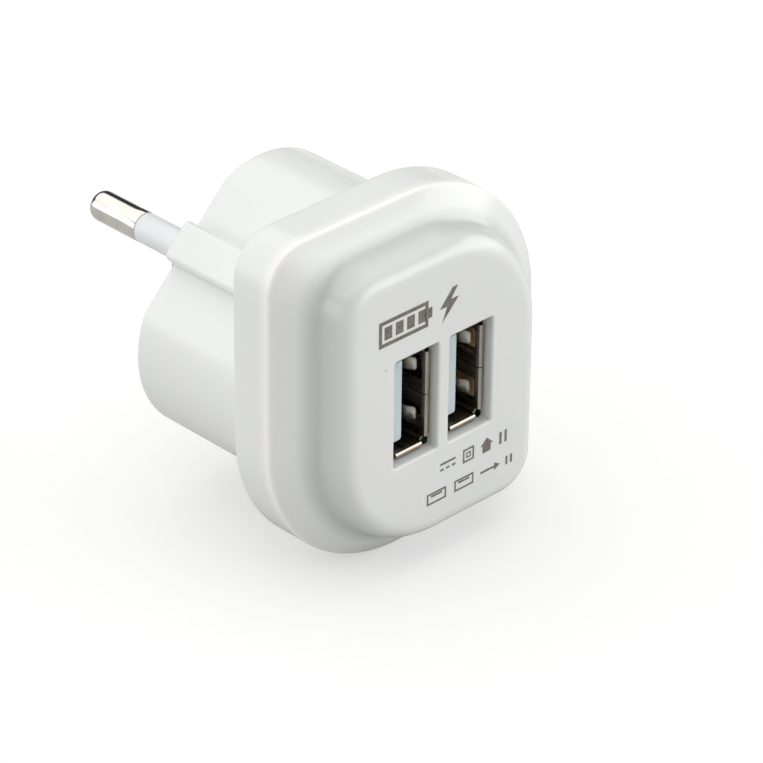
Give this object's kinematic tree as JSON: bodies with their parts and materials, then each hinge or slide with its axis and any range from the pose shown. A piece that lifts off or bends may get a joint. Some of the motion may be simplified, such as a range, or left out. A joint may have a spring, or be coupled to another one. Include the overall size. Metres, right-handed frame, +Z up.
{
  "type": "usb wall charger",
  "caption": "Compact white mains charger with a leaf-shaped face, side-by-side charging sockets, a keyed plug body and round mains pins.",
  "frame": {"origin": "midway between the two mains pins, on the plug's rear (engagement) face", "axes": "+Y along the pins, away from the face; the face looks along -Y; +Z up; +X to the right of someone looking at the face"},
  "size_m": [0.0446, 0.0548, 0.0478],
  "materials": {
    "white_shell": "glossy injection-moulded white",
    "pin_nickel": "polished nickel plate",
    "sleeve_plastic": "satin pale grey-white",
    "socket_steel": "tinned steel, slightly warm",
    "tongue_plastic": "pale blue-white",
    "contact_gold": "thin gold plate",
    "spring_steel": "bright tinned steel",
    "board_green": "solder mask",
    "bobbin_black": "moulded phenolic",
    "copper_wire": "enamelled copper",
    "tape_yellow": "polyester tape",
    "ferrite": "sintered ferrite",
    "capacitor_sleeve": "shrink sleeve",
    "capacitor_green": "shrink sleeve",
    "package_black": "moulded epoxy",
    "package_white": "moulded epoxy",
    "resistor_body": "lacquer",
    "disc_blue": "dipped epoxy",
    "chip_ceramic": "ceramic",
    "lead_copper": "tinned copper"
  },
  "bodies": {
    "charger": {"front_cover": "white_shell", "rear_body": "white_shell", "pin_a": "pin_nickel", "pin_b": "pin_nickel", "pin_sleeve_a": "sleeve_plastic", "pin_sleeve_b": "sleeve_plastic", "usb_shell_left": "socket_steel", "usb_shell_right": "socket_steel", "usb_insulator_left": "tongue_plastic", "usb_insulator_right": "tongue_plastic", "circuit_board": "board_green", "transformer_bobbin": "bobbin_black", "transformer_winding": "copper_wire", "transformer_tape": "tape_yellow", "transformer_core_front": "ferrite", "transformer_core_rear": "ferrite", "input_capacitor_a": "capacitor_sleeve", "input_capacitor_b": "capacitor_sleeve", "input_inductor": "ferrite", "fusible_resistor": "resistor_body", "bridge_rectifier": "package_black", "switching_ic": "package_black", "optocoupler": "package_white", "safety_capacitor": "disc_blue", "chip_capacitor": "chip_ceramic", "chip_resistor": "package_black", "output_capacitor": "capacitor_green", "output_diode": "package_black", "mains_lead_a": "lead_copper", "mains_lead_b": "lead_copper", "contact_left_1": "contact_gold", "contact_left_2": "contact_gold", "contact_left_3": "contact_gold", "contact_left_4": "contact_gold", "contact_right_1": "contact_gold", "contact_right_2": "contact_gold", "contact_right_3": "contact_gold", "contact_right_4": "contact_gold"},
    "spring_left_upper_leaf": {"spring_left_upper": "spring_steel"},
    "spring_left_lower_leaf": {"spring_left_lower": "spring_steel"},
    "spring_right_upper_leaf": {"spring_right_upper": "spring_steel"},
    "spring_right_lower_leaf": {"spring_right_lower": "spring_steel"}
  },
  "joints": [
    {"name": "spring_left_upper_flex", "type": "hinge", "parent": "charger", "child": "spring_left_upper_leaf", "pos_m": [-0.00186, -0.0252, 0.00331], "axis": [0, 0, 1], "range_deg": [0, 4], "stiffness_Nm_per_rad": 0.2},
    {"name": "spring_left_lower_flex", "type": "hinge", "parent": "charger", "child": "spring_left_lower_leaf", "pos_m": [-0.00186, -0.0252, -0.00359], "axis": [0, 0, 1], "range_deg": [0, 4], "stiffness_Nm_per_rad": 0.2},
    {"name": "spring_right_upper_flex", "type": "hinge", "parent": "charger", "child": "spring_right_upper_leaf", "pos_m": [0.00728, -0.0252, 0.00331], "axis": [0, 0, 1], "range_deg": [0, 4], "stiffness_Nm_per_rad": 0.2},
    {"name": "spring_right_lower_flex", "type": "hinge", "parent": "charger", "child": "spring_right_lower_leaf", "pos_m": [0.00728, -0.0252, -0.00359], "axis": [0, 0, 1], "range_deg": [0, 4], "stiffness_Nm_per_rad": 0.2}
  ]
}
